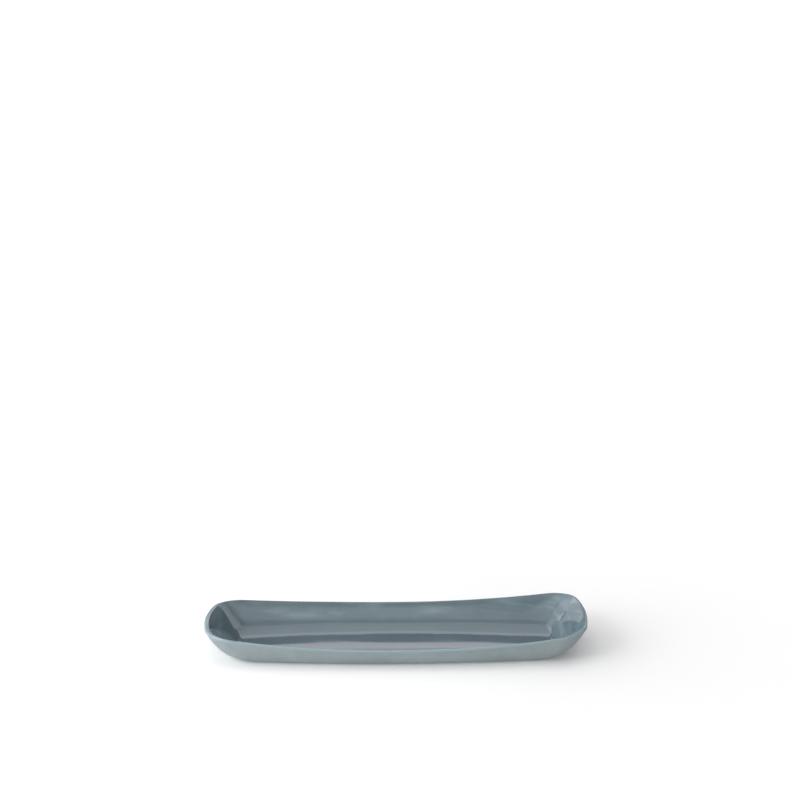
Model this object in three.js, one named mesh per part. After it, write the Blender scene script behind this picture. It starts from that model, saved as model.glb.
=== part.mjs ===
// A long narrow serving platter: a fired porcelain body with a flat foot, flared walls and a rim
// that dips along the sides and sweeps up to the corners, lined with a gloss glaze.
// Millimetres. Z is up, X runs along the platter, Y runs across it, and the front is at -Y.
// The origin is on the table, under the middle of the platter.
import * as THREE from "three";
import { LoftGeometry } from "three/addons/geometries/LoftGeometry.js";

// Rim, seen from above and measured over its outer edge
const RIM_LENGTH = 350;
const RIM_WIDTH = 117;
const RIM_CORNER_RADIUS = 20.5;
const RIM_SIDE_BOW = 8; // how far a long side stands out in its middle
const RIM_END_BOW = 8.6; // how far an end stands out in its middle

// Rim, height of its crest above the table: in the dip, halfway along both long sides, and over the
// four corners of the plan box, which the round corners stop a little short of
const RIM_HEIGHT_MIDDLE = 17.6;
const RIM_HEIGHT_FRONT_LEFT = 29.2;
const RIM_HEIGHT_FRONT_RIGHT = 29.2;
const RIM_HEIGHT_BACK_LEFT = 24.8;
const RIM_HEIGHT_BACK_RIGHT = 32.2;
const RIM_SWEEP_POWER = 2.1; // 2 is a parabola, more keeps the middle flatter

// Base, seen from above, where the wall leaves the table
const BASE_LENGTH = 264;
const BASE_WIDTH = 83.6;
const BASE_CORNER_RADIUS = 14;
const BASE_BOW = 4;

// Foot band that the platter stands on, round a shallow recess
const FOOT_WIDTH = 7;
const FOOT_HEIGHT = 1;
const FOOT_DRAFT = 1.5; // how far the step leans in on its way up to the recess

// Clay and glaze
const CLAY_FLOOR_HEIGHT = 4.4; // top of the clay floor above the table
const CLAY_RIM_THICKNESS = 2.8;
const FLOOR_INSET = 6; // from the base outline in to where the inner wall starts to rise
const GLAZE_THICKNESS = 0.4;
const GLAZE_FEATHER = 0.15; // share of the lip's half round over which the glaze thins out

// Section of the wall, from the base outline up to the round lip
const OUTER_RUN = 0.55; // share of the flare that the outer wall runs low before it turns up
const OUTER_RISE = 0.7; // share of the height over which the outer wall leans with the rim
const INNER_RUN = 0.5;
const INNER_RISE = 0.6;
const RIM_LEAN = 0.246; // share of the flare that the wall still leans out over its rise

// Facets
const END_STEPS = 6;
const SIDE_STEPS = 20;
const CORNER_STEPS = 9;
const WALL_STEPS = 8;
const LIP_STEPS = 6;

const lipRadius = CLAY_RIM_THICKNESS / 2;
const rimReach = lipRadius + GLAZE_THICKNESS;

// Plan outline: a rounded rectangle, counter-clockwise from the right end's back corner, whose ends and
// sides stand out in the middle by their bows. Every outline has its corners at the same steps.
function planOutline(length, width, radius, sideBow, endBow) {
  const halfLength = length / 2;
  const halfWidth = width / 2;
  const x = halfLength - radius;
  const y = halfWidth - radius;
  const quarter = Math.PI / 2;
  const corners = [[x, y], [-x, y], [-x, -y], [x, -y]].map(
    ([centreX, centreY], i) =>
      new THREE.EllipseCurve(centreX, centreY, radius, radius, i * quarter, (i + 1) * quarter),
  );
  const points = corners.flatMap((corner, i) => {
    const next = corners[(i + 1) % corners.length];
    const straight = new THREE.LineCurve(corner.getPoint(1), next.getPoint(0));
    const steps = i % 2 === 0 ? SIDE_STEPS : END_STEPS;
    return [...corner.getPoints(CORNER_STEPS), ...straight.getPoints(steps).slice(1, -1)];
  });
  return points.map((point) => {
    const along = point.x / halfLength;
    const across = point.y / halfWidth;
    return new THREE.Vector2(
      point.x - endBow * along * across ** 2,
      point.y - sideBow * across * along ** 2,
    );
  });
}

// Height of the rim's crest over a point of the rim outline: a dip that sweeps up to four corners.
function rimHeight(point) {
  const along = point.x / (RIM_LENGTH / 2);
  const toBack = 0.5 + point.y / RIM_WIDTH;
  const left = THREE.MathUtils.lerp(RIM_HEIGHT_FRONT_LEFT, RIM_HEIGHT_BACK_LEFT, toBack);
  const right = THREE.MathUtils.lerp(RIM_HEIGHT_FRONT_RIGHT, RIM_HEIGHT_BACK_RIGHT, toBack);
  const end = along < 0 ? left : right;
  return THREE.MathUtils.lerp(RIM_HEIGHT_MIDDLE, end, Math.abs(along) ** RIM_SWEEP_POWER);
}

// Wall curve from a level start to an end that leans out by the rim's angle.
function wallCurve(start, end, runShare, riseShare, leanAngle) {
  const rise = riseShare * (end.y - start.y);
  return new THREE.CubicBezierCurve(
    start,
    new THREE.Vector2(start.x + runShare * (end.x - start.x), start.y),
    new THREE.Vector2(end.x - rise * Math.tan(leanAngle), end.y - rise),
    end,
  );
}

// One upright section of the wall, from the base outline out to the rim.
// Section points are (out, up): out from the base outline, up from the table.
// The lip is a half round: share 0 is on the outer wall, share 1 on the inner wall.
function wallSection(base, rim) {
  const flare = base.distanceTo(rim);
  const height = rimHeight(rim);
  const outward = rim.clone().sub(base).normalize();
  const leanAngle = Math.atan2(RIM_LEAN * flare, OUTER_RISE * height);
  const lipCentre = new THREE.Vector2(flare - rimReach, height - rimReach);
  const onLip = (share, radius) => {
    const angle = Math.PI * share - leanAngle;
    return new THREE.Vector2(Math.cos(angle), Math.sin(angle)).multiplyScalar(radius).add(lipCentre);
  };
  const outerStart = new THREE.Vector2(0, 0);
  const innerStart = new THREE.Vector2(-FLOOR_INSET, CLAY_FLOOR_HEIGHT);
  const outer = wallCurve(outerStart, onLip(0, lipRadius), OUTER_RUN, OUTER_RISE, leanAngle);
  const inner = wallCurve(innerStart, onLip(1, lipRadius), INNER_RUN, INNER_RISE, leanAngle);
  const place = ({ x: out, y: up }) =>
    new THREE.Vector3(base.x + outward.x * out, base.y + outward.y * out, up);
  return { outer, inner, onLip, place };
}

// A point of the inner wall moved in by the thickness of the glaze.
function glazeOffset(inner, share) {
  const tangent = inner.getTangent(share);
  const inward = new THREE.Vector2(-tangent.y, tangent.x);
  return inner.getPoint(share).addScaledVector(inward, GLAZE_THICKNESS);
}

// Depth of the glaze round the lip: it thins out to a feather edge on the outside.
function glazeDepth(lipShare) {
  return GLAZE_THICKNESS * Math.min(1, lipShare / GLAZE_FEATHER);
}

const baseOutline = planOutline(BASE_LENGTH, BASE_WIDTH, BASE_CORNER_RADIUS, BASE_BOW, BASE_BOW);
const rimOutline = planOutline(
  RIM_LENGTH,
  RIM_WIDTH,
  RIM_CORNER_RADIUS,
  RIM_SIDE_BOW,
  RIM_END_BOW,
);
const sections = baseOutline.map((base, i) => wallSection(base, rimOutline[i]));

// A ring round the platter through the same place of every section.
const ring = (pointOf) => sections.map((section) => section.place(pointOf(section)));
const centre = (height) => sections.map(() => new THREE.Vector3(0, 0, height));
const evenShares = (steps) => Array.from({ length: steps + 1 }, (_, i) => i / steps);

// Clay surfaces that the body shares with the glaze, from the feather edge in to the floor's middle
const clayLip = evenShares(LIP_STEPS).map((share) =>
  ring((section) => section.onLip(share, lipRadius)),
);
const clayInside = evenShares(WALL_STEPS)
  .slice(0, -1)
  .reverse()
  .map((share) => ring((section) => section.inner.getPoint(share)));
const clayFloorMiddle = centre(CLAY_FLOOR_HEIGHT);
const glazedClay = [...clayLip, ...clayInside, clayFloorMiddle];

// Underside and outer wall, from the recess out to the foot and up to the lip
const recessMiddle = centre(FOOT_HEIGHT);
const recessEdge = ring(() => new THREE.Vector2(-FOOT_WIDTH - FOOT_DRAFT, FOOT_HEIGHT));
const footInside = ring(() => new THREE.Vector2(-FOOT_WIDTH, 0));
const outerWall = evenShares(WALL_STEPS)
  .slice(0, -1)
  .map((share) => ring((section) => section.outer.getPoint(share)));

// Free surface of the glaze, from the floor's middle out and over the lip to the feather edge
const glazeInside = evenShares(WALL_STEPS)
  .slice(0, -1)
  .map((share) => ring((section) => glazeOffset(section.inner, share)));
const glazeLip = evenShares(LIP_STEPS)
  .slice(1)
  .reverse()
  .map((share) =>
    ring((section) => section.onLip(share, lipRadius + glazeDepth(share))),
  );
const glazeFloorMiddle = centre(CLAY_FLOOR_HEIGHT + GLAZE_THICKNESS);

function piece(name, geometry, material) {
  const mesh = new THREE.Mesh(geometry, material);
  mesh.name = name;
  return mesh;
}

// Porcelain body: clay coloured right through, sanded and left bare outside and underneath.
const porcelainBody = piece(
  "porcelain_body",
  new LoftGeometry([recessMiddle, recessEdge, footInside, ...outerWall, ...glazedClay]),
  new THREE.MeshStandardMaterial({ color: 0x8fa3a3, roughness: 0.62, metalness: 0 }),
);

// Interior glaze: a glass layer fused to the inside of the body and over the crest of its rim.
// Its rings run the same way as the body's where they meet, so that both share the same facets there,
// and its faces are then turned to point out.
const glazeGeometry = new LoftGeometry([glazeFloorMiddle, ...glazeInside, ...glazeLip, ...glazedClay]);
glazeGeometry.index.array.reverse();
glazeGeometry.computeVertexNormals();
const interiorGlaze = piece(
  "interior_glaze",
  glazeGeometry,
  new THREE.MeshStandardMaterial({ color: 0x6f858b, roughness: 0.08, metalness: 0 }),
);

const platter = new THREE.Group();
platter.name = "long_serving_platter";
platter.add(porcelainBody, interiorGlaze);

export default platter;
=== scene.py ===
from math import atan2, copysign, cos, hypot, pi, radians, sin, tan

import bmesh
import bpy
from mathutils import Matrix, Vector, noise


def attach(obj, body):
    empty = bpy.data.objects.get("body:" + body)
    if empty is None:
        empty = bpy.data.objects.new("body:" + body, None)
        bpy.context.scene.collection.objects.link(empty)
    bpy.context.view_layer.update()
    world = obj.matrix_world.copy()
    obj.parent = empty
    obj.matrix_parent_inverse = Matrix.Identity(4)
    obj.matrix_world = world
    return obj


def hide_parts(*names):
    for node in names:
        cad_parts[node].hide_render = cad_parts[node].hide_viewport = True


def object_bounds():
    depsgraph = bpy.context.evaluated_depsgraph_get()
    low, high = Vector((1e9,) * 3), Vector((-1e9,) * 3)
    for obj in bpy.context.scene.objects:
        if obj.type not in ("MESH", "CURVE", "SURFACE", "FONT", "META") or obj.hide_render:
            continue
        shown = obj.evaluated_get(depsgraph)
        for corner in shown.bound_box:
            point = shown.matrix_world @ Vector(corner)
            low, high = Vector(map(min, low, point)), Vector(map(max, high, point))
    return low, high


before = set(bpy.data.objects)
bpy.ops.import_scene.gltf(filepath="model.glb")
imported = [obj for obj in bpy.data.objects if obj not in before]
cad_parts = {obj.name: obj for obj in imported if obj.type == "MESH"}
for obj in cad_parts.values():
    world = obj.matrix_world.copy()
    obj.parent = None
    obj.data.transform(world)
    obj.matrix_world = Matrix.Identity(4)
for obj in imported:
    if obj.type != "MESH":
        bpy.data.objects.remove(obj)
cad_low, cad_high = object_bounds()


# Porcelain body: the whole shape of the platter, cast in one piece from porcelain clay that is coloured
# right through. It is poured into a plaster mould, fettled and sanded by hand and fired, and its outside
# stays bare. Its floor is a very shallow trough that turns up into the walls along a soft crease.

# Plans of the rim and of the base, over their outer edges
RIM_PLAN = {
    "length": cad_high.x - cad_low.x,
    "width": cad_high.y - cad_low.y,
    "corner": 0.0205,
    "side_bow": 0.008,
    "end_bow": 0.0086,
}
BASE_PLAN = {"length": 0.264, "width": 0.0836, "corner": 0.014, "side_bow": 0.004, "end_bow": 0.004}

# Height of the rim's crest, halfway along the sides and over the corners of the plan's box
RIM_HEIGHT_MIDDLE = 0.0176
RIM_HEIGHT_LEFT = {"front": 0.0292, "back": 0.0248}
RIM_HEIGHT_RIGHT = {"front": 0.0292, "back": 0.0322}
RIM_SWEEP_POWER = 2.1

# Section of the wall, with the lip a half round at its top. Inside, the ends flare more than the sides,
# each in its own way, and the left one has a broader lip
LIP_RADIUS = 0.0014
GLAZE_THICKNESS = 0.0004
RIM_REACH = LIP_RADIUS + GLAZE_THICKNESS
RIM_LEAN = 0.246
OUTER_RUN, OUTER_RISE = 0.55, 0.7
INNER_RUN = 0.2
INNER_RISE_SIDE = 0.42
INNER_LEFT = {"rise": 0.5, "flare": radians(18), "lip_widening": 0.001}
INNER_RIGHT = {"rise": 0.36, "flare": radians(33), "lip_widening": 0.0}
CLAY_FLOOR_HEIGHT = 0.0044
FLOOR_INSET_SIDE, FLOOR_INSET_END = 0.0073, -0.0100

# Trough of the floor, whose lowest line bends forward towards the raised ends, and its unevenness:
# a slow swell left by the mould and a fine ripple left by the sanding
TROUGH_HALF_LENGTH = 0.140
TROUGH_HALF_WIDTH = 0.0345
TROUGH_DEPTH = 0.0011
TROUGH_RISE = 0.0016
TROUGH_POWER = 3
TROUGH_END_RISE = 0.35
TROUGH_END_SHIFT = 0.0075
END_LIFT, END_LIFT_START = 0.0013, 0.65
SWELL = {"height": 0.00005, "along": 0.06, "across": 0.022, "layer": 0.5}
RIPPLE = {"height": 0.000008, "along": 0.020, "across": 0.012, "layer": 3.5}

# Foot band round a shallow recess, as (out, up) from the base outline and the table
RECESS_HEIGHT = 0.001
FOOT_PROFILE = (
    (-0.0008, 0.0),
    (-0.0064, 0.0),
    (-0.0071, 0.0001),
    (-0.0083, 0.0009),
    (-0.0090, RECESS_HEIGHT),
    (-0.0105, RECESS_HEIGHT),
)

# Faces of the mesh, before it is smoothed
STEPS_ALONG = 44
STEPS_ACROSS = 20
CORNER_STEPS = 4
WALL_STEPS = 6
LIP_STEPS = 6
SLOPE_STEP = 0.001


def from_middle(share, steps):
    """How far a share of a side lies along the straight from its middle, and how far on past it."""
    corner_share = 2 * CORNER_STEPS / steps
    straight_share = 1 - corner_share
    past = max(0.0, abs(share) - straight_share) / corner_share
    straight = min(1.0, abs(share) / straight_share)
    return copysign(straight, share), copysign(tan(pi / 4 * past), share)


def plan_point(u, v, length, width, corner, side_bow, end_bow):
    """The point of a bowed, rounded outline that the edge of a square from -1 to 1 has at u, v."""
    straight_x, straight_y = from_middle(u, STEPS_ALONG)[0], from_middle(v, STEPS_ACROSS)[0]
    x = straight_x * (length / 2 - corner)
    y = straight_y * (width / 2 - corner)
    point = Vector((x, y)) + corner * plan_facing(u, v)
    along = point.x / (length / 2)
    across = point.y / (width / 2)
    return point - Vector((end_bow * along * across**2, side_bow * across * along**2))


def plan_facing(u, v):
    """The way that the outline faces there, before it is bowed."""
    return Vector((from_middle(u, STEPS_ALONG)[1], from_middle(v, STEPS_ACROSS)[1])).normalized()


def rim_height(point):
    """Height of the rim's crest over a point of its plan: a dip that sweeps up to four corners."""
    along = point.x / (RIM_PLAN["length"] / 2)
    to_back = 0.5 + point.y / RIM_PLAN["width"]
    end = RIM_HEIGHT_LEFT if along < 0 else RIM_HEIGHT_RIGHT
    end_height = end["front"] + (end["back"] - end["front"]) * to_back
    return RIM_HEIGHT_MIDDLE + (end_height - RIM_HEIGHT_MIDDLE) * abs(along) ** RIM_SWEEP_POWER


def unevenness(point, height, along, across, layer):
    """Gentle hills of that height, as long and as wide as given, in one layer of the noise."""
    return height * noise.noise(Vector((point.x / along, point.y / across, layer)))


def clay_floor(point):
    """Height of the clay floor at a point of the plan."""
    to_end = (point.x / TROUGH_HALF_LENGTH) ** 2
    across = abs(point.y + TROUGH_END_SHIFT * to_end) / TROUGH_HALF_WIDTH
    trough = TROUGH_RISE * (1 + TROUGH_END_RISE * to_end) * across**TROUGH_POWER - TROUGH_DEPTH
    lifted = max(0.0, abs(point.x) / TROUGH_HALF_LENGTH - END_LIFT_START) / (1 - END_LIFT_START)
    smooth = CLAY_FLOOR_HEIGHT + trough + END_LIFT * lifted**2
    return smooth + unevenness(point, **SWELL) + unevenness(point, **RIPPLE)


class WallSection:
    """An upright cut through the wall, from the base outline out to the rim. Its points are (out, up)."""

    def __init__(self, u, v):
        self.base = plan_point(u, v, **BASE_PLAN)
        self.rim = plan_point(u, v, **RIM_PLAN)
        flare = (self.rim - self.base).length
        height = rim_height(self.rim)
        self.outward = (self.rim - self.base) / flare
        self.lean = atan2(RIM_LEAN * flare, OUTER_RISE * height)
        facing = plan_facing(u, v)
        to_end = facing.x**2
        end = INNER_LEFT if facing.x < 0 else INNER_RIGHT
        inset = FLOOR_INSET_SIDE + (FLOOR_INSET_END - FLOOR_INSET_SIDE) * to_end
        self.inner_rise = INNER_RISE_SIDE + (end["rise"] - INNER_RISE_SIDE) * to_end
        self.inner_lean = self.lean + end["flare"] * to_end
        self.lip_widening = end["lip_widening"] * to_end
        self.lip_centre = Vector((flare - RIM_REACH - self.lip_widening, height - RIM_REACH))
        crease = self.spot(-inset)
        crease_height = clay_floor(crease)
        self.crease = Vector((-inset, crease_height))
        further = clay_floor(crease + SLOPE_STEP * self.outward)
        self.floor_slope = (further - crease_height) / SLOPE_STEP

    def spot(self, out):
        """The plan point that lies that far out."""
        return self.base + out * self.outward

    def on_lip(self, share, radius):
        """A point round the lip, from share 0 on the outer wall over the crest to 1 on the inner wall."""
        angle = share * (pi - self.inner_lean) - (1 - share) * self.lean
        facing = Vector((cos(angle), sin(angle)))
        wide = radius + self.lip_widening
        reach = Vector((wide**2 * facing.x, radius**2 * facing.y))
        return self.lip_centre + reach / hypot(wide * facing.x, radius * facing.y)

    def wall_curve(self, share, start, start_slope, end, lean, run, rise):
        """Point and direction on the curve from a start near the level to a lean at the rim."""
        out_run = run * (end.x - start.x)
        up_rise = rise * (end.y - start.y)
        leave = start + Vector((out_run, out_run * start_slope))
        arrive = end - Vector((up_rise * tan(lean), up_rise))
        rest = 1 - share
        point = rest**3 * start + 3 * rest**2 * share * leave
        point += 3 * rest * share**2 * arrive + share**3 * end
        along = rest**2 * (leave - start) + 2 * rest * share * (arrive - leave)
        along += share**2 * (end - arrive)
        return point, along.normalized()

    def outer_wall(self, share):
        """A point of the outer wall."""
        lip = self.on_lip(0, LIP_RADIUS)
        return self.wall_curve(share, Vector((0.0, 0.0)), 0.0, lip, self.lean, OUTER_RUN, OUTER_RISE)[0]

    def inner_wall(self, share, raised=0.0):
        """A point of the inner wall, raised from the clay by the thickness of what lies on it."""
        lip = self.on_lip(1, LIP_RADIUS)
        bends = (self.inner_lean, INNER_RUN, self.inner_rise)
        point, along = self.wall_curve(share, self.crease, self.floor_slope, lip, *bends)
        return point + raised * Vector((-along.y, along.x))


def shares(steps):
    """Even shares from 0 to 1."""
    return [step / steps for step in range(steps + 1)]


def loft(name, stations, first_floor, last_floor):
    """A closed mesh whose surface runs from one floor out through rings round the platter to another floor.

    It starts as a box of square rings, one above the other, with a grid in both ends. Each ring then moves
    to its station, which gives its place on a wall section, and each grid spreads out over its floor.
    A station's number is kept on its vertices, for materials that change from ring to ring.
    """
    last = len(stations) - 1
    grid = {"x_segments": STEPS_ALONG, "y_segments": STEPS_ACROSS, "size": 1}
    bm = bmesh.new()
    bmesh.ops.create_grid(bm, **grid)
    ring = [edge for edge in bm.edges if edge.is_boundary]
    for level in range(last):
        made = bmesh.ops.extrude_edge_only(bm, edges=ring)["geom"]
        ring = [item for item in made if isinstance(item, bmesh.types.BMEdge) and item.is_boundary]
        raised = {vert for edge in ring for vert in edge.verts}
        bmesh.ops.translate(bm, verts=list(raised), vec=(0, 0, 1))
    bmesh.ops.create_grid(bm, matrix=Matrix.Translation((0, 0, last)), **grid)
    bmesh.ops.remove_doubles(bm, verts=bm.verts[:], dist=0.001)
    station = bm.verts.layers.float.new("station")
    for vert in bm.verts:
        u, v, level = vert.co
        level = round(level)
        reach = max(abs(u), abs(v))
        section = WallSection(u / reach, v / reach) if reach else WallSection(1, 0)
        out, up = stations[level](section)
        spot = reach * section.spot(out)
        on_ring = reach > 0.999
        if not on_ring:
            up = first_floor(spot) if level == 0 else last_floor(spot)
        vert.co = (*spot, up)
        vert[station] = level
    bmesh.ops.recalc_face_normals(bm, faces=bm.faces[:])
    if bm.calc_volume(signed=True) < 0:
        bmesh.ops.reverse_faces(bm, faces=bm.faces[:])
    mesh = bpy.data.meshes.new(name)
    bm.to_mesh(mesh)
    bm.free()
    mesh.shade_smooth()
    piece = bpy.data.objects.new(name, mesh)
    bpy.context.scene.collection.objects.link(piece)
    smoothing = piece.modifiers.new("smoothing", "SUBSURF")
    smoothing.levels = smoothing.render_levels = 2
    return piece


def new_material(name):
    """A material with its node tree and its shader."""
    material = bpy.data.materials.new(name)
    material.use_nodes = True
    return material, material.node_tree, material.node_tree.nodes["Principled BSDF"]


def add_node(tree, kind, inputs=None, **settings):
    """A node with its settings, and with inputs given as values or as sockets to link from."""
    node = tree.nodes.new(kind)
    for key, value in settings.items():
        setattr(node, key, value)
    for key, value in (inputs or {}).items():
        if isinstance(value, bpy.types.NodeSocket):
            tree.links.new(value, node.inputs[key])
        else:
            node.inputs[key].default_value = value
    return node


def noise_pattern(tree, place, scale, detail=2.0, roughness=0.5):
    """Cloudy noise from 0 to 1, with scale patches to the metre."""
    inputs = {"Vector": place, "Scale": scale, "Detail": detail, "Roughness": roughness}
    return add_node(tree, "ShaderNodeTexNoise", inputs).outputs["Fac"]


def ranged(tree, value, low, high, to_low, to_high):
    """A value between low and high, stretched to another range and kept inside it."""
    inputs = {"Value": value, "From Min": low, "From Max": high, "To Min": to_low, "To Max": to_high}
    return add_node(tree, "ShaderNodeMapRange", inputs).outputs["Result"]


def calculated(tree, operation, first, second):
    """The result of a sum or a comparison of two values."""
    return add_node(tree, "ShaderNodeMath", {0: first, 1: second}, operation=operation).outputs[0]


def mixed(tree, share, first, second):
    """Two colours mixed by a share; a colour may be given as red, green and blue."""
    colours = [c if isinstance(c, bpy.types.NodeSocket) else (*c, 1) for c in (first, second)]
    inputs = {"Factor": share, 6: colours[0], 7: colours[1]}
    return add_node(tree, "ShaderNodeMix", inputs, data_type="RGBA").outputs[2]


def stretched(tree, place, scale):
    """A place scaled on each axis, to draw out a pattern along the others."""
    return add_node(tree, "ShaderNodeMapping", {"Vector": place, "Scale": scale}).outputs["Vector"]


def specks(tree, place, scale, size, share):
    """1 in small round specks, scale cells to the metre, in that share of the cells, and 0 elsewhere."""
    cells = add_node(tree, "ShaderNodeTexVoronoi", {"Vector": place, "Scale": scale})
    inside = ranged(tree, cells.outputs["Distance"], size, size * 0.5, 0, 1)
    chosen = calculated(tree, "LESS_THAN", cells.outputs["Color"], share)
    return calculated(tree, "MULTIPLY", inside, chosen)


def body_stations():
    """From the crease of the floor up the inner wall, over the lip, down outside and under the foot."""
    stations = [lambda section, share=share: section.inner_wall(share) for share in shares(WALL_STEPS)]
    for share in shares(LIP_STEPS)[-2::-1]:
        stations.append(lambda section, share=share: section.on_lip(share, LIP_RADIUS))
    for share in shares(WALL_STEPS)[-2::-1]:
        stations.append(lambda section, share=share: section.outer_wall(share))
    for point in FOOT_PROFILE:
        stations.append(lambda section, point=point: Vector(point))
    return stations


porcelain = loft("porcelain_shell", body_stations(), clay_floor, lambda point: RECESS_HEIGHT)

# Bare porcelain: pale grey-green, cloudy, with the fine grain of fired clay, a few dark specks, the level
# streaks of wet sanding on the walls and a foot that is rubbed paler
CLAY_PALE = (0.325, 0.385, 0.392)
CLAY_DEEP = (0.228, 0.280, 0.302)
CLAY_SPECK = (0.12, 0.13, 0.13)
CLAY_RUBBED = (0.40, 0.45, 0.45)
FOOT_RUB_HEIGHT = 0.0004
SANDING_STRETCH = (0.04, 0.04, 1)

bare_porcelain, tree, shader = new_material("bare_porcelain")
place = add_node(tree, "ShaderNodeTexCoord").outputs["Object"]
clouds = noise_pattern(tree, place, scale=45, detail=6, roughness=0.65)
grain = noise_pattern(tree, place, scale=1900, detail=3, roughness=0.6)
level_place = stretched(tree, place, SANDING_STRETCH)
streaks = noise_pattern(tree, level_place, scale=700, detail=3, roughness=0.55)
dots = specks(tree, place, scale=330, size=0.16, share=0.10)
height = add_node(tree, "ShaderNodeSeparateXYZ", {"Vector": place}).outputs["Z"]
rubbed = ranged(tree, height, FOOT_RUB_HEIGHT, FOOT_RUB_HEIGHT / 2, 0, 0.7)
tone = ranged(tree, clouds, 0.3, 0.7, 0.15, 0.75)
tone = calculated(tree, "ADD", tone, ranged(tree, streaks, 0.3, 0.7, 0, 0.2))
tone = calculated(tree, "ADD", tone, ranged(tree, grain, 0.3, 0.7, -0.15, 0.15))
colour = mixed(tree, tone, CLAY_DEEP, CLAY_PALE)
colour = mixed(tree, rubbed, colour, CLAY_RUBBED)
colour = mixed(tree, calculated(tree, "MULTIPLY", dots, 0.6), colour, CLAY_SPECK)
tree.links.new(colour, shader.inputs["Base Color"])
matte = ranged(tree, calculated(tree, "ADD", grain, streaks), 0.7, 1.3, 0.52, 0.66)
tree.links.new(matte, shader.inputs["Roughness"])
relief = calculated(tree, "ADD", grain, calculated(tree, "MULTIPLY", streaks, 0.6))
relief = calculated(tree, "SUBTRACT", relief, calculated(tree, "MULTIPLY", dots, 0.8))
bump = add_node(tree, "ShaderNodeBump", {"Height": relief, "Strength": 0.5, "Distance": 0.00003})
tree.links.new(bump.outputs["Normal"], shader.inputs["Normal"])
porcelain.data.materials.append(bare_porcelain)

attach(porcelain, "root")
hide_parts("porcelain_body")


# Interior glaze: a layer of blue-grey glass, poured over the inside of the body and fused to it in the
# kiln. It runs over the crest of the rim and stops in a soft rolled edge on the outside of the lip.

# The rolled edge lies at a share of the lip's half round, and its profile is (share past it, depth)
GLAZE_EDGE = 0.07
GLAZE_EDGE_WANDER = 0.03
SUNK = -0.00005
GLAZE_ROLL = ((0.1, 0.00039), (0.04, 0.00031), (0.0, 0.00014), (0.0, SUNK))
LIP_SHARES = (0.84, 0.68, 0.52, 0.38, 0.26)
SUNK_LIP_SHARES = (0.4, 0.7)

# Uneven flow of the glaze down the wall, in bands
GLAZE_FLOW = 0.00012
FLOW_LENGTH = 0.045
FLOW_BANDS = 4.0
EDGE_LAYER = 9.0


def glazed_wall(section, share):
    """The free surface on the inner wall, where the glaze has flowed a little unevenly."""
    flow = noise.noise(Vector((*section.rim / FLOW_LENGTH, FLOW_BANDS * share)))
    settled = 4 * share * (1 - share)
    return section.inner_wall(share, GLAZE_THICKNESS + GLAZE_FLOW * flow * settled)


def glaze_edge(section, from_edge, depth):
    """A point at the rolled edge, whose line wanders along the outside of the lip."""
    wander = noise.noise(Vector((*section.rim / FLOW_LENGTH, EDGE_LAYER)))
    share = GLAZE_EDGE + GLAZE_EDGE_WANDER * wander + from_edge
    return section.on_lip(share, LIP_RADIUS + depth)


def glaze_stations():
    """Up the free surface, over the lip to the rolled edge, and back just under the clay's surface."""
    stations = [lambda section, share=share: glazed_wall(section, share) for share in shares(WALL_STEPS)]
    for share in LIP_SHARES:
        stations.append(lambda section, share=share: section.on_lip(share, RIM_REACH))
    for from_edge, depth in GLAZE_ROLL:
        stations.append(lambda section, f=from_edge, d=depth: glaze_edge(section, f, d))
    for share in SUNK_LIP_SHARES:
        stations.append(lambda section, share=share: section.on_lip(share, LIP_RADIUS + SUNK))
    for share in shares(WALL_STEPS)[::-1]:
        stations.append(lambda section, share=share: section.inner_wall(share, SUNK))
    return stations


glaze = loft(
    "glaze_lining",
    glaze_stations(),
    lambda point: clay_floor(point) + GLAZE_THICKNESS,
    lambda point: clay_floor(point) + SUNK,
)

# Gloss glaze: deep blue-grey where it pools on the floor, greener and paler where it thins up the walls,
# with soft veils where it has run, and pale blue over the lip, partly where the glaze breaks thin and
# partly a painted highlight along the crest. Glassy, with the faint orange peel, specks and pinholes of a
# glaze
GLAZE_POOLED = (0.129, 0.172, 0.205)
GLAZE_WALL_LOW = (0.124, 0.170, 0.195)
GLAZE_WALL_HIGH = (0.152, 0.216, 0.244)
# Pale blue of the lip: thin glaze, with a painted highlight along the crest
GLAZE_THIN_AND_HIGHLIGHT = (0.303, 0.398, 0.436)
GLAZE_DEPTH = (0.080, 0.112, 0.135)
GLAZE_VEIL = (0.270, 0.350, 0.380)
GLAZE_SPECK = (0.05, 0.06, 0.065)
GLAZE_GRAIN = (0.06, 0.09, 0.11)
VEIL_STRETCH = (0.8, 0.8, 5.0)
LIP_START = WALL_STEPS

gloss_glaze, tree, shader = new_material("gloss_glaze")
place = add_node(tree, "ShaderNodeTexCoord").outputs["Object"]
station = add_node(tree, "ShaderNodeAttribute", attribute_name="station").outputs["Fac"]
clouds = noise_pattern(tree, place, scale=34, detail=5, roughness=0.55)
fine = noise_pattern(tree, place, scale=1500, detail=2, roughness=0.5)
peel = noise_pattern(tree, place, scale=190, detail=2, roughness=0.45)
runs = noise_pattern(tree, stretched(tree, place, VEIL_STRETCH), scale=26, detail=3, roughness=0.5)
dots = specks(tree, place, scale=210, size=0.10, share=0.12)
pinholes = specks(tree, place, scale=160, size=0.07, share=0.10)
run = calculated(tree, "ADD", station, ranged(tree, clouds, 0.25, 0.75, -0.7, 0.7))
colour = mixed(tree, ranged(tree, run, 0.0, 1.0, 0, 1), GLAZE_POOLED, GLAZE_WALL_LOW)
colour = mixed(tree, ranged(tree, run, 1.0, LIP_START - 1.5, 0, 1), colour, GLAZE_WALL_HIGH)
colour = mixed(tree, ranged(tree, clouds, 0.38, 0.62, 0.18, 0), colour, GLAZE_DEPTH)
veil = ranged(tree, runs, 0.50, 0.68, 0, 0.5)
on_wall = ranged(tree, station, 1.0, 2.5, 0, 1)
colour = mixed(tree, calculated(tree, "MULTIPLY", veil, on_wall), colour, GLAZE_VEIL)
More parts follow.
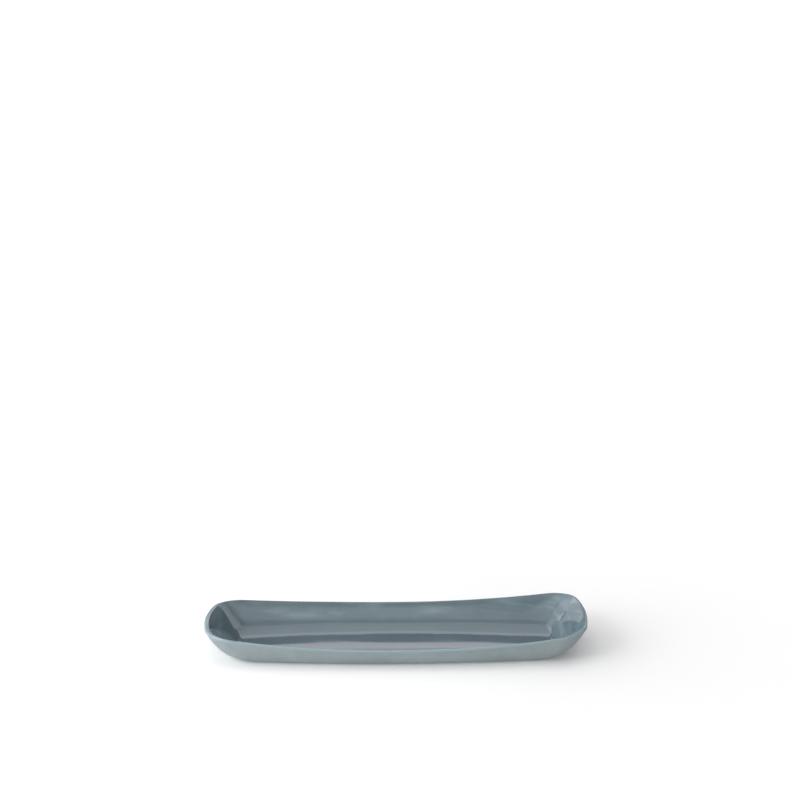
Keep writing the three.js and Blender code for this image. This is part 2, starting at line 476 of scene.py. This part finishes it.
# Pale blue over the lip, from the inner side over the crest: partly the glaze breaking thin, partly a
# painted highlight
lip_break_and_highlight = ranged(tree, run, LIP_START + 1.0, LIP_START + 3.2, 0, 1)
colour = mixed(tree, lip_break_and_highlight, colour, GLAZE_THIN_AND_HIGHLIGHT)
colour = mixed(tree, ranged(tree, fine, 0.3, 0.7, 0.0, 0.10), colour, GLAZE_GRAIN)
colour = mixed(tree, calculated(tree, "MULTIPLY", dots, 0.45), colour, GLAZE_SPECK)
tree.links.new(colour, shader.inputs["Base Color"])
gloss = calculated(tree, "ADD", clouds, calculated(tree, "MULTIPLY", fine, 0.4))
tree.links.new(ranged(tree, gloss, 0.4, 1.0, 0.03, 0.06), shader.inputs["Roughness"])
relief = calculated(tree, "SUBTRACT", peel, calculated(tree, "MULTIPLY", pinholes, 1.5))
bump = add_node(tree, "ShaderNodeBump", {"Height": relief, "Strength": 1.0, "Distance": 0.000007})
tree.links.new(bump.outputs["Normal"], shader.inputs["Normal"])
glaze.data.materials.append(gloss_glaze)

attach(glaze, "root")
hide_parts("interior_glaze")


# Studio: a white floor whose glow is painted light, brighter away from the platter, and a white backdrop,
# with soft light from the left and the front. A white panel and a softbox behind the platter, with a dark
# gap between them, give the glaze its level reflections.

FLOOR_SIZE = 2.6
# Glow of the floor, which is painted light: its strength next to the platter and far out, and where it
# grows
FLOOR_GLOW, FLOOR_GLOW_FAR = 0.12, 0.35
FLOOR_GLOW_START, FLOOR_GLOW_END = 0.16, 0.7
BACKDROP_AWAY = 0.8
BACKDROP_TOP = 1.2
BACKDROP_LIGHT = 1.2
CARD_WHITE = (0.9, 0.9, 0.9, 1)
CARD_ROUGHNESS, CARD_SHINE = 0.9, 0.1


def stage_sheet(name, width, depth, place, glow):
    """A sheet of white card of the stage, with a glow of its own given as emission: painted light that no
    lamp casts.
    """
    bm = bmesh.new()
    bmesh.ops.create_grid(bm, x_segments=1, y_segments=1, size=0.5)
    bmesh.ops.scale(bm, verts=bm.verts[:], vec=(width, depth, 1))
    bmesh.ops.transform(bm, verts=bm.verts[:], matrix=place)
    mesh = bpy.data.meshes.new(name)
    bm.to_mesh(mesh)
    bm.free()
    material, tree, shader = new_material(name + "_card")
    shader.inputs["Base Color"].default_value = CARD_WHITE
    shader.inputs["Roughness"].default_value = CARD_ROUGHNESS
    shader.inputs["Specular IOR Level"].default_value = CARD_SHINE
    shader.inputs["Emission Color"].default_value = (1, 1, 1, 1)
    shader.inputs["Emission Strength"].default_value = glow
    mesh.materials.append(material)
    sheet = bpy.data.objects.new(name, mesh)
    bpy.context.scene.collection.objects.link(sheet)
    return sheet


floor = stage_sheet("floor", FLOOR_SIZE, FLOOR_SIZE, Matrix.Identity(4), FLOOR_GLOW)
# Painted light: the floor glows weakest next to the platter and more further out, which lightens the
# shadows round it and whitens the floor beyond
tree = floor.active_material.node_tree
place = add_node(tree, "ShaderNodeTexCoord").outputs["Object"]
away = add_node(tree, "ShaderNodeVectorMath", {"Vector": place}, operation="LENGTH").outputs["Value"]
floor_glow = ranged(tree, away, FLOOR_GLOW_START, FLOOR_GLOW_END, FLOOR_GLOW, FLOOR_GLOW_FAR)
tree.links.new(floor_glow, tree.nodes["Principled BSDF"].inputs["Emission Strength"])
upright = Matrix.Translation((0, BACKDROP_AWAY, BACKDROP_TOP / 2)) @ Matrix.Rotation(pi / 2, 4, "X")
backdrop = stage_sheet("backdrop", FLOOR_SIZE, BACKDROP_TOP, upright, BACKDROP_LIGHT)
backdrop.visible_glossy = False
backdrop.visible_diffuse = False
backdrop.visible_shadow = False


WHITE = (1.0, 1.0, 1.0)
LILAC = (1.0, 0.93, 0.96)
PALE_LILAC = (1.0, 0.94, 0.97)
DEEP_LILAC = (1.0, 0.92, 0.96)
PLATTER = (0.0, 0.0, 0.0)


def softbox(name, place, size, brightness, aim=PLATTER, tint=WHITE):
    """An area light of that brightness, which is how white it looks in a mirror."""
    width, height = size
    lamp = bpy.data.lights.new(name, "AREA")
    lamp.shape = "RECTANGLE"
    lamp.size = width
    lamp.size_y = height
    lamp.energy = brightness * pi * width * height
    lamp.color = tint
    light = bpy.data.objects.new(name, lamp)
    light.location = place
    light.rotation_euler = (Vector(aim) - Vector(place)).to_track_quat("-Z", "Y").to_euler()
    bpy.context.scene.collection.objects.link(light)
    return light


# Behind the platter: a panel, a dark gap above it, and a softbox, both brighter next to the gap
softbox("back_panel_top", (-0.05, 6.0, 2.22), (1.8, 0.64), 1.5, aim=(-0.05, 0.0, 2.22), tint=LILAC)
softbox("back_panel", (-0.05, 6.0, 1.35), (1.8, 1.1), 0.9, aim=(-0.05, 0.0, 1.35))
softbox("back_softbox_edge", (-0.3, 6.0, 3.0), (5.4, 0.3), 1.15, aim=(-0.3, 0.0, 3.0))
softbox("back_softbox", (-0.3, 6.0, 4.325), (5.4, 2.35), 0.8, aim=(-0.3, 0.0, 4.325))

# Overhead: a wide softbox that is brighter towards its middle
softbox("overhead_softbox", (0.0, 0.19, 1.60), (3.2, 3.06), 0.42, aim=(0.0, 0.19, 0.0))
softbox("overhead_middle", (0.0, 0.17, 1.59), (2.8, 1.5), 0.47, aim=(0.0, 0.17, 0.0))
softbox("overhead_core", (0.0, 0.27, 1.58), (2.4, 0.8), 0.42, aim=(0.0, 0.27, 0.0))

# Round the platter: the key from the front left, panels along the left and weaker ones on the right
softbox("key_softbox", (-1.43, -0.744, 0.80), (1.32, 1.2), 4.8)
softbox("left_panel", (-2.62, 0.9, 1.15), (2.1, 1.9), 2.2)
softbox("left_back_panel", (-1.40, 2.24, 1.43), (1.71, 1.0), 0.95, tint=PALE_LILAC)
softbox("left_back_low_panel", (-1.86, 2.30, 0.57), (1.15, 0.85), 1.35)
softbox("left_low_panel", (-0.988, 2.716, 0.80), (0.65, 0.38), 0.85, tint=DEEP_LILAC)
softbox("right_back_high_panel", (1.50, 2.20, 1.50), (1.3, 0.9), 1.0)
softbox("right_back_panel", (1.86, 2.29, 0.57), (1.15, 0.95), 0.5)
softbox("front_fill", (0.0, -2.6, 1.5), (3.6, 1.95), 0.88)

# Beyond the stage: a pale grey that only the camera sees
WORLD_GREY = (0.95, 0.95, 0.95, 1)

world = bpy.data.worlds.new("studio")
world.use_nodes = True
world.node_tree.nodes["Background"].inputs["Color"].default_value = WORLD_GREY
bpy.context.scene.world = world
world.cycles_visibility.diffuse = False
world.cycles_visibility.glossy = False
bpy.context.scene.view_settings.view_transform = "Standard"

# Camera: a long lens at the viewing angle of the photo, aimed over the platter
CAMERA_DISTANCE = 1.25
CAMERA_ELEVATION = radians(23.5)
CAMERA_AZIMUTH = radians(-0.745)
CAMERA_DIP = radians(13.165)
CAMERA_HEADING = radians(-0.933)
LENS_MM = 59.91
SENSOR_MM = 36

camera_data = bpy.data.cameras.new("camera")
camera_data.sensor_width = SENSOR_MM
camera_data.lens = LENS_MM
camera = bpy.data.objects.new("camera", camera_data)
camera.location = CAMERA_DISTANCE * Vector(
    (
        cos(CAMERA_ELEVATION) * sin(CAMERA_AZIMUTH),
        -cos(CAMERA_ELEVATION) * cos(CAMERA_AZIMUTH),
        sin(CAMERA_ELEVATION),
    )
)
camera.rotation_euler = (pi / 2 - CAMERA_DIP, 0, CAMERA_HEADING)
bpy.context.scene.collection.objects.link(camera)
bpy.context.scene.camera = camera
